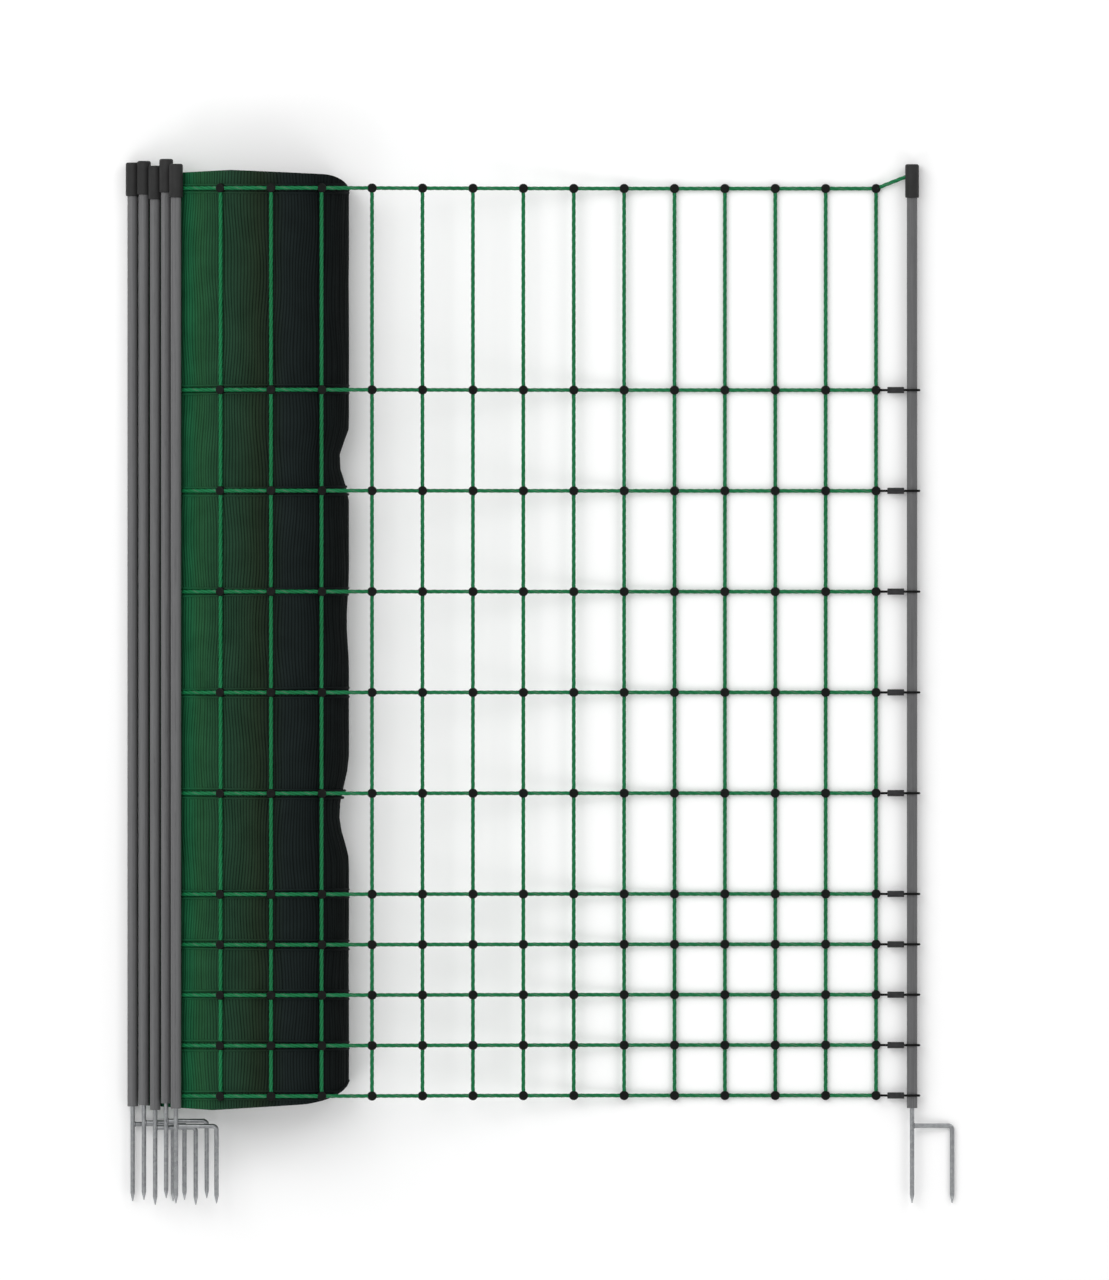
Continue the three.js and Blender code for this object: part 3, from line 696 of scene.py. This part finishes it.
def buildRollBody():
    s = rollSettings
    around = s["ribs"] * s["pointsPerRib"]
    section = rollSection(around)
    outward = section - np.array([rollMiddle().x, rollMiddle().z])
    outward /= np.linalg.norm(outward, axis=1)[:, None]
    topY = rows[-1] + s["topOverhang"]
    bottomY = rows[0] - s["bottomOverhang"]
    # rings in order: out over the bottom end from its bore, up the side, in over the top end
    endShares = np.linspace(s["boreShare"], 1.0, s["endRings"])
    rings = [("bottom", share) for share in endShares]
    rings += [("side", share) for share in np.linspace(0, 1, s["sideRings"])[1:-1]]
    rings += [("top", share) for share in endShares[::-1]]
    deselectAll()
    bpy.ops.mesh.primitive_circle_add(vertices=around, radius=1, fill_type="NOTHING")
    body = bpy.context.object
    bpy.ops.object.mode_set(mode="EDIT")
    bpy.ops.mesh.select_mode(type="EDGE")
    bpy.ops.mesh.select_all(action="SELECT")
    for _ in rings[1:]:
        bpy.ops.mesh.extrude_region_move(TRANSFORM_OT_translate={"value": (0, 0, 1)})
    bpy.ops.object.mode_set(mode="OBJECT")
    mesh = body.data
    grooveShadeMask = mesh.attributes.new("grooveShadeMask", "FLOAT", "POINT")
    rng = random.Random(s["seed"])
    ribLift = [rng.uniform(-s["ribUnevenness"], 0.0) for _ in range(s["ribs"])]
    ribPhase = [rng.uniform(0, 6.28) for _ in range(s["ribs"])]
    for ringIndex, (part, share) in enumerate(rings):
        for step in range(around):
            rib, place = divmod(step, s["pointsPerRib"])
            ribHeight = ridge(place / s["pointsPerRib"], s["ribSharpness"])
            angle = 2 * math.pi * step / around
            if part == "side":
                y = bottomY + (topY - bottomY) * share
                out = 1.0
                height = 1.0
            else:
                y = bottomY if part == "bottom" else topY
                out = share
                phase = (1 - share) / (1 - s["boreShare"]) * s["turns"] + angle / (2 * math.pi)
                height = ridge(phase, s["turnSharpness"]) if share < s["plainRimShare"] else 1.0
            # the rim slides a little way round the section, so that the ribs stray
            index = (step + ribWander(y, angle) / s["perimeter"] * around) % around
            low = int(index)
            blend = index - low
            rim = section[low] * (1 - blend) + section[(low + 1) % around] * blend
            x, z = rollPoint(rim, out, y)
            lift = -s["skin"] - s["ribDepth"] * (1 - ribHeight)
            lift += ribLift[rib] * (1 + math.sin(y * s["ribWave"] + ribPhase[rib]))
            x += outward[low][0] * lift * out
            z += outward[low][1] * lift * out
            topEnd = rollEndY("top", x)
            bottomEnd = rollEndY("bottom", x)
            if part == "top":
                y = topEnd - s["turnDepth"] * (1 - height)
            elif part == "bottom":
                y = bottomEnd + s["turnDepth"] * (1 - height)
            else:
                y = bottomEnd + (topEnd - bottomEnd) * share
            vertex = mesh.vertices[ringIndex * around + step]
            vertex.co = (x, y, max(z, s["aboveFloor"]))
            # painted shade: the mask is low in the grooves between the turns on the ends and between the
            # ribs on the side, and the material darkens the colour there
            shade = s["grooveShade"] + (1 - s["grooveShade"]) * height
            grooveShadeMask.data[vertex.index].value = min(ribHeight, shade)
    # the bore's wall closes the body from the inner ring of one end to that of the other
    last = (len(rings) - 1) * around
    selected = set(range(around)) | set(range(last, last + around))
    bpy.ops.object.mode_set(mode="EDIT")
    bpy.ops.mesh.select_mode(type="EDGE")
    bpy.ops.mesh.select_all(action="DESELECT")
    bpy.ops.object.mode_set(mode="OBJECT")
    for edge in mesh.edges:
        first, second = edge.vertices
        sameRing = first // around == second // around
        edge.select = sameRing and first in selected and second in selected
    bpy.ops.object.mode_set(mode="EDIT")
    bpy.ops.mesh.bridge_edge_loops()
    bpy.ops.mesh.select_all(action="SELECT")
    bpy.ops.mesh.normals_make_consistent(inside=False)
    bpy.ops.object.mode_set(mode="OBJECT")
    smoothByAngle(body, s["smoothAngle"])
    # the roll's painted shade runs from this place at the left to the roll's right side
    look = woundMaterial(columns[0] + s["shadeGradientStart"], rollHigh.x)
    finishPiece(body, "woundRoll", look, "net_roll", "net_roll")
    print("roll:", len(body.data.polygons))


def circleSection(radius, sides):
    turn = 2 * math.pi / sides
    return profileCurve([(radius * math.cos(i * turn), radius * math.sin(i * turn)) for i in range(sides)])


# Live strands of the hidden turns, wound round the roll beside the outermost ones
windingSettings = {
    "radius": 1.5 * mm,
    "sides": 8,
    "offsets": (-4.6 * mm, 4.4 * mm),
    "sunk": 0.3 * mm,
    "stray": 1.2 * mm,
    "endMargin": 3 * mm,
    "toeMargin": 9 * mm,
    "aboveFloor": 0.1 * mm,
    "nearest": 1.5 * mm,
    "points": 110,
    "smoothAngle": 70,
    "seed": 11,
}


def buildWindings():
    s = windingSettings
    section = circleSection(s["radius"], s["sides"])
    outline = rollSection(s["points"])
    middle = np.array([rollMiddle().x, rollMiddle().z])
    toeX = rollLow.x + s["toeMargin"]
    floorZ = s["radius"] + s["aboveFloor"]
    rng = random.Random(s["seed"])
    paths = []
    for y in rows:
        for offset in s["offsets"]:
            phase = rng.uniform(0, 6.28)
            path = []
            for index, rim in enumerate(outline):
                out = (rim - middle) / np.linalg.norm(rim - middle)
                stray = s["stray"] * math.sin(phase + 2 * math.pi * index / s["points"])
                ringY = y + offset + stray
                ringY = min(ringY, rollEndY("top", rim[0]) - s["endMargin"])
                ringY = max(ringY, rollEndY("bottom", rim[0]) + s["endMargin"])
                x, z = rollPoint(rim, 1.0, ringY)
                x -= out[0] * s["sunk"]
                z -= out[1] * s["sunk"]
                spot = Vector((max(x, toeX), ringY, max(z, floorZ)))
                if not path or (spot - path[-1]).length > s["nearest"] < (spot - path[0]).length:
                    path.append(spot)
            paths.append(path)
    windings = sweep("woundLiveStrands", paths, section, cyclic=True)
    closeShell(windings)
    # the windings get no painted groove shade: their mask is 1 all over
    grooveShadeMask = windings.data.attributes.new("grooveShadeMask", "FLOAT", "POINT")
    for item in grooveShadeMask.data:
        item.value = 1.0
    smoothByAngle(windings, s["smoothAngle"])
    material = bpy.data.materials["woundNet"]
    finishPiece(windings, "woundLiveStrands", material, "net_roll", "net_roll")
    bpy.data.objects.remove(section, do_unlink=True)
    print("windings:", len(windings.data.polygons))


# Posts
postSettings = {
    "shaftSides": 40,
    "shaftEdge": 0.7 * mm,
    "shaftEdgeSegments": 3,
    "capSides": 48,
    "capCrown": 2.4 * mm,
    "capCrownSegments": 5,
    "capMouth": 1.2 * mm,
    "capMouthSegments": 3,
    "socketDepth": 20 * mm,
    "socketFit": 0.3 * mm,
    "smoothAngle": 40,
}


def standAlongY(thing, centre):
    # a piece modelled on +Z is laid along +Y at its post
    thing.matrix_world = Matrix.Translation(centre) @ Matrix.Rotation(-math.pi / 2, 4, "X")


def bevelRims(thing, offset, segments, test):
    makeActive(thing)
    mesh = thing.data
    bpy.ops.object.mode_set(mode="EDIT")
    bpy.ops.mesh.select_mode(type="EDGE")
    bpy.ops.mesh.select_all(action="DESELECT")
    bpy.ops.object.mode_set(mode="OBJECT")
    for edge in mesh.edges:
        edge.select = all(test(mesh.vertices[i].co) for i in edge.vertices)
    bpy.ops.object.mode_set(mode="EDIT")
    bpy.ops.mesh.bevel(offset=offset, segments=segments)
    bpy.ops.object.mode_set(mode="OBJECT")


def buildShaft(number, material):
    s = postSettings
    low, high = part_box(f"post_shaft_{number}")
    radius = (high.x - low.x) / 2
    length = high.y - low.y
    deselectAll()
    bpy.ops.mesh.primitive_cylinder_add(vertices=s["shaftSides"], radius=radius, depth=length)
    shaft = bpy.context.object
    rim = length / 2 * nearRim
    bevelRims(shaft, s["shaftEdge"], s["shaftEdgeSegments"], lambda p: abs(p.z) > rim)
    standAlongY(shaft, (low + high) / 2)
    smoothByAngle(shaft, s["smoothAngle"])
    finishPiece(shaft, f"postShaft{number}", material, "post_shaft", f"post_shaft_{number}")


def buildCap(number, material):
    low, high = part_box(f"post_cap_{number}")
    shaftLow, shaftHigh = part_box(f"post_shaft_{number}")
    radius = (high.x - low.x) / 2
    length = high.y - low.y
    s = postSettings
    deselectAll()
    bpy.ops.mesh.primitive_cylinder_add(vertices=s["capSides"], radius=radius, depth=length)
    cap = bpy.context.object
    rim = length / 2 * nearRim
    bevelRims(cap, s["capCrown"], s["capCrownSegments"], lambda p: p.z > rim)
    # the socket: the mouth's face is set in and pushed up round the shaft
    selectFaces(cap, lambda face: face.normal.z < -flatFace)
    socketRadius = (shaftHigh.x - shaftLow.x) / 2 + s["socketFit"]
    bpy.ops.mesh.inset(thickness=radius - socketRadius)
    bpy.ops.mesh.extrude_region_move(TRANSFORM_OT_translate={"value": (0, 0, s["socketDepth"])})
    bpy.ops.object.mode_set(mode="OBJECT")
    bevelRims(cap, s["capMouth"], s["capMouthSegments"],
              lambda p: p.z < -rim and math.hypot(p.x, p.y) > radius * nearRim)
    standAlongY(cap, (low + high) / 2)
    smoothByAngle(cap, s["smoothAngle"])
    finishPiece(cap, f"postCap{number}", material, "post_cap", f"post_cap_{number}")


# Double spike: straight rod with a point, and a bent prong welded to it
spikeSettings = {
    "radius": 2.7 * mm,
    "roundness": 3,
    "spacing": 48.3 * mm,
    "bendRadius": 4.5 * mm,
    "bendStep": 15,
    "point": 10 * mm,
    # along the point: place as a share of its length, and share of the rod's radius
    "pointShape": ((0.0, 0.12), (0.05, 0.24), (0.5, 0.62), (0.8, 0.88), (1.0, 1.0)),
    "stepBelowShaft": 21 * mm,
    "tipBelowShaft": 113 * mm,
    "tang": 30 * mm,
    "smallestDrop": 0.5 * mm,
    "smoothAngle": 40,
}
# Weld bead: ring, thickness and place are shares of the rod's radius
weldSettings = {
    "ring": 0.98,
    "thickness": 0.34,
    "place": 0.86,
    "segments": 36,
    "sides": 10,
    "ripple": 0.25 * mm,
    "ripples": 9,
    "smoothAngle": 60,
}


def spikeLean(number, axis):
    # how far a post on the floor is turned, read from its packed prong's lowest place
    s = spikeSettings
    drop = axis.z - s["radius"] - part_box(f"double_spike_{number}")[0].z
    return math.asin(drop / s["spacing"]) if drop > s["smallestDrop"] else 0.0


def buildSpike(number, material, weld):
    s = spikeSettings
    shaftLow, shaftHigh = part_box(f"post_shaft_{number}")
    axis = (shaftLow + shaftHigh) / 2
    footY = shaftLow.y
    lean = spikeLean(number, axis)
    tipY = footY - s["tipBelowShaft"]
    stepY = footY - s["stepBelowShaft"]
    straightPath = [Vector((0, tipY, 0)), Vector((0, footY + s["tang"], 0))]
    straight = taperedRod(f"spike{number}", straightPath)
    bend = []
    for turn in range(0, 91, s["bendStep"]):
        angle = math.radians(turn)
        bend.append(Vector((s["spacing"] - s["bendRadius"] * (1 - math.sin(angle)),
                            stepY - s["bendRadius"] * (1 - math.cos(angle)), 0)))
    bentPath = [Vector((s["spacing"], tipY, 0))] + bend[::-1] + [Vector((0, stepY, 0))]
    prong = taperedRod(f"prong{number}", bentPath)
    bead = weldBead(stepY, s["radius"])
    for thing in (straight, prong, bead):
        thing.matrix_world = Matrix.Translation((axis.x, 0, axis.z)) @ Matrix.Rotation(lean, 4, "Y")
    spike = joinPieces([straight, prong], f"doubleSpike{number}")
    smoothByAngle(spike, s["smoothAngle"])
    node = f"double_spike_{number}"
    finishPiece(spike, f"doubleSpike{number}", material, "spike_steel", node)
    smoothByAngle(bead, weldSettings["smoothAngle"])
    finishPiece(bead, f"weldBead{number}", weld, "spike_steel", node)


def taperedRod(name, path):
    # a round rod along a path, drawn to a point at the path's start
    s = spikeSettings
    point = (path[1] - path[0]).normalized() * s["point"]
    places = [(path[0] + point * share, scale) for share, scale in s["pointShape"]]
    places += [(place, 1.0) for place in path[1:]]
    data = bpy.data.curves.new(name, "CURVE")
    data.dimensions = "3D"
    data.bevel_depth = s["radius"]
    data.bevel_resolution = s["roundness"]
    data.use_fill_caps = True
    spline = data.splines.new("POLY")
    spline.points.add(len(places) - 1)
    for point, (place, scale) in zip(spline.points, places):
        point.co = (*place, 1)
        point.radius = scale
    thing = bpy.data.objects.new(name, data)
    bpy.context.scene.collection.objects.link(thing)
    makeActive(thing)
    bpy.ops.object.convert(target="MESH")
    thing = bpy.context.object
    closeShell(thing)
    return thing


def weldBead(stepY, radius):
    # a rippled fillet all round the place where the step meets the spike
    s = weldSettings
    deselectAll()
    bpy.ops.mesh.primitive_torus_add(
        major_radius=radius * s["ring"], minor_radius=radius * s["thickness"],
        major_segments=s["segments"], minor_segments=s["sides"],
        location=(radius * s["place"], stepY, 0), rotation=(0, math.pi / 2, 0))
    bead = bpy.context.object
    bpy.ops.object.transform_apply(location=True, rotation=True, scale=True)
    for vertex in bead.data.vertices:
        around = math.atan2(vertex.co.z, vertex.co.y - stepY)
        vertex.co.x += s["ripple"] * math.sin(s["ripples"] * around)
    return bead


# Ties at the end post
tieSettings = {
    "cordRadius": 1.4 * mm,
    "cordSides": 12,
    "cordSmoothAngle": 60,
    "startInKnot": 1.5 * mm,
    "leadOut": 3 * mm,
    "loopClearance": 0.8 * mm,
    "spread": 1.55 * mm,
    "loopTurns": (215, 250, 290, 330, 0, 30, 70, 110, 145),
    "stepsPerPoint": 6,
    "ferruleSides": 24,
    "ferruleSquareness": 2.6,
    "chamfer": 0.8 * mm,
    "chamferSegments": 2,
    "mouthInset": 0.5 * mm,
    "ferruleSmoothAngle": 35,
}


def tiePath(y, ferrule):
    # from the knot through the sleeve, round the post and back into the sleeve
    s = tieSettings
    shaftLow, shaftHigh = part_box("post_shaft_6")
    axis = (shaftLow + shaftHigh) / 2
    loop = (shaftHigh.x - shaftLow.x) / 2 + s["loopClearance"] + s["cordRadius"]
    low, high = ferrule
    mouth = s["cordRadius"]
    centreZ = (low.z + high.z) / 2
    startX = columns[-1] + netSizes["knotRadius"] - s["startInKnot"]
    knotZ = netSizes["knotHalf"]
    lower = centreZ - s["spread"]
    upper = centreZ + s["spread"]
    points = [(startX, knotZ), (startX + s["leadOut"], knotZ)]
    points += [(low.x - mouth, lower), (low.x + mouth, lower)]
    points += [(high.x - mouth, lower), (high.x + mouth, lower)]
    for degrees in s["loopTurns"]:
        angle = math.radians(degrees)
        points.append((axis.x + loop * math.cos(angle), axis.z + loop * math.sin(angle)))
    points += [(high.x + mouth, upper), (high.x - mouth, upper), (low.x + mouth, upper)]
    path = smoothPath([Vector((x, y, z)) for x, z in points], s["stepsPerPoint"])
    # the cord doesn't sink into the floor where the smoothed loop swings a little wide
    return [Vector((place.x, place.y, max(place.z, s["cordRadius"]))) for place in path]


def smoothPath(points, steps):
    # a Catmull-Rom curve through the points
    padded = [points[0] * 2 - points[1]] + points + [points[-1] * 2 - points[-2]]
    path = []
    for index in range(1, len(padded) - 2):
        p0, p1, p2, p3 = padded[index - 1:index + 3]
        for step in range(steps):
            t = step / steps
            path.append(0.5 * (2 * p1 + (p2 - p0) * t + (2 * p0 - 5 * p1 + 4 * p2 - p3) * t * t
                               + (3 * p1 - p0 - 3 * p2 + p3) * t ** 3))
    path.append(points[-1])
    return path


def buildTies():
    cordLook = cordMaterial()
    ferruleLook = ferruleMaterial()
    section = circleSection(tieSettings["cordRadius"], tieSettings["cordSides"])
    for number in range(1, 11):
        low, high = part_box(f"ferrule_{number}")
        cord = sweep(f"tieCord{number}", [tiePath((low.y + high.y) / 2, (low, high))], section)
        closeShell(cord)
        smoothByAngle(cord, tieSettings["cordSmoothAngle"])
        finishPiece(cord, f"tieCord{number}", cordLook, "tie_cord", f"tie_cord_{number}")
        ferrule = modelFerrule(low, high)
        finishPiece(ferrule, f"ferrule{number}", ferruleLook, "ferrule", f"ferrule_{number}")
    bpy.data.objects.remove(section, do_unlink=True)
    print("ties: 10")


def modelFerrule(low, high):
    # a sleeve between round and square, with chamfered ends that are set in once
    s = tieSettings
    size = high - low
    power = s["ferruleSquareness"]
    deselectAll()
    bpy.ops.mesh.primitive_cylinder_add(vertices=s["ferruleSides"], radius=0.5, depth=size.x)
    sleeve = bpy.context.object
    for vertex in sleeve.data.vertices:
        x, y = vertex.co.x * 2, vertex.co.y * 2
        spread = 1 / (abs(x) ** power + abs(y) ** power) ** (1 / power)
        vertex.co.x = x * spread * size.z / 2
        vertex.co.y = y * spread * size.y / 2
    rim = size.x / 2 * nearRim
    bevelRims(sleeve, s["chamfer"], s["chamferSegments"], lambda p: abs(p.z) > rim)
    selectFaces(sleeve, lambda face: abs(face.normal.z) > flatFace)
    bpy.ops.mesh.inset(thickness=s["mouthInset"])
    bpy.ops.object.mode_set(mode="OBJECT")
    lying = Matrix.Rotation(math.pi / 2, 4, "Y")
    sleeve.matrix_world = Matrix.Translation((low + high) / 2) @ lying
    smoothByAngle(sleeve, s["ferruleSmoothAngle"])
    return sleeve


def buildPosts():
    shaftLook = shaftMaterial()
    capLook = capMaterial()
    steelLook = steelMaterial()
    weldLook = weldMaterial()
    for number in range(1, 7):
        buildShaft(number, shaftLook)
        buildCap(number, capLook)
        buildSpike(number, steelLook, weldLook)
    print("posts: 6")


# Stage, light and camera
stageSettings = {
    "floorSize": 9.0,
    "floorDrop": 0.4 * mm,
    "worldStrength": 0.66,
    "keyPlace": (-1.5, 1.3, 3.4),
    "keyEnergy": 36.0,
    "keySize": 2.6,
    "fillEnergy": 37.0,
    "fillSize": 2.4,
    "fillPlaces": ((3.2, 3.2, 3.0), (-3.2, 3.2, 3.0), (3.2, -3.2, 3.0), (-3.2, -3.2, 3.0)),
    # the camera looks straight down from far away, centred this far from the net's lowest left knot
    "frameHeight": 1524.5 * mm,
    "lens": 1200,
    "sensor": 36,
    "clipEnd": 200,
    "viewX": 397.1 * mm,
    "viewY": 542.4 * mm,
}


def buildStage():
    s = stageSettings
    deselectAll()
    bpy.ops.mesh.primitive_plane_add(size=s["floorSize"], location=(0, 0, -s["floorDrop"]))
    floor = bpy.context.object
    floor.name = "floor"
    # pale matt backdrop paper: almost white, with no shine
    material, tree, shader, place = newMaterial("paleFloor", 0.85, specular=0.1)
    tone = addNode(tree, "ShaderNodeTexNoise", {"Scale": 1.2, "Detail": 2.0}, {"Vector": place})
    pale = setRamp(addNode(tree, "ShaderNodeValToRGB", links={"Fac": tone.outputs["Fac"]}),
                   [(0.3, "f8f8f8"), (0.7, "fbfbfb")])
    tree.links.new(pale.outputs["Color"], shader.inputs["Base Color"])
    floor.data.materials.append(material)

    world = bpy.data.worlds.new("studio")
    world.use_nodes = True
    background = world.node_tree.nodes["Background"]
    background.inputs["Color"].default_value = (1, 1, 1, 1)
    background.inputs["Strength"].default_value = s["worldStrength"]
    bpy.context.scene.world = world

    addLight("softKey", s["keyPlace"], s["keySize"], s["keyEnergy"])
    for index, spot in enumerate(s["fillPlaces"]):
        addLight(f"fill{index + 1}", spot, s["fillSize"], s["fillEnergy"])
    print("stage: floor, world and lights")


def addLight(name, place, size, energy):
    data = bpy.data.lights.new(name, "AREA")
    data.shape = "DISK"
    data.size = size
    data.energy = energy
    light = bpy.data.objects.new(name, data)
    light.location = place
    light.rotation_euler = (-light.location).to_track_quat("-Z", "Y").to_euler()
    bpy.context.scene.collection.objects.link(light)


def buildCamera():
    s = stageSettings
    data = bpy.data.cameras.new("camera")
    data.lens = s["lens"]
    data.sensor_width = s["sensor"]
    data.clip_end = s["clipEnd"]
    camera = bpy.data.objects.new("camera", data)
    distance = s["frameHeight"] / 2 / math.tan(math.atan(s["sensor"] / 2 / s["lens"]))
    camera.location = (columns[0] + s["viewX"], rows[0] + s["viewY"], distance)
    bpy.context.scene.collection.objects.link(camera)
    bpy.context.scene.camera = camera
    bpy.context.scene.view_settings.view_transform = "Standard"


buildCamera()
buildStage()
buildStrands()
buildKnots()
buildRollBody()
buildWindings()
buildPosts()
buildTies()
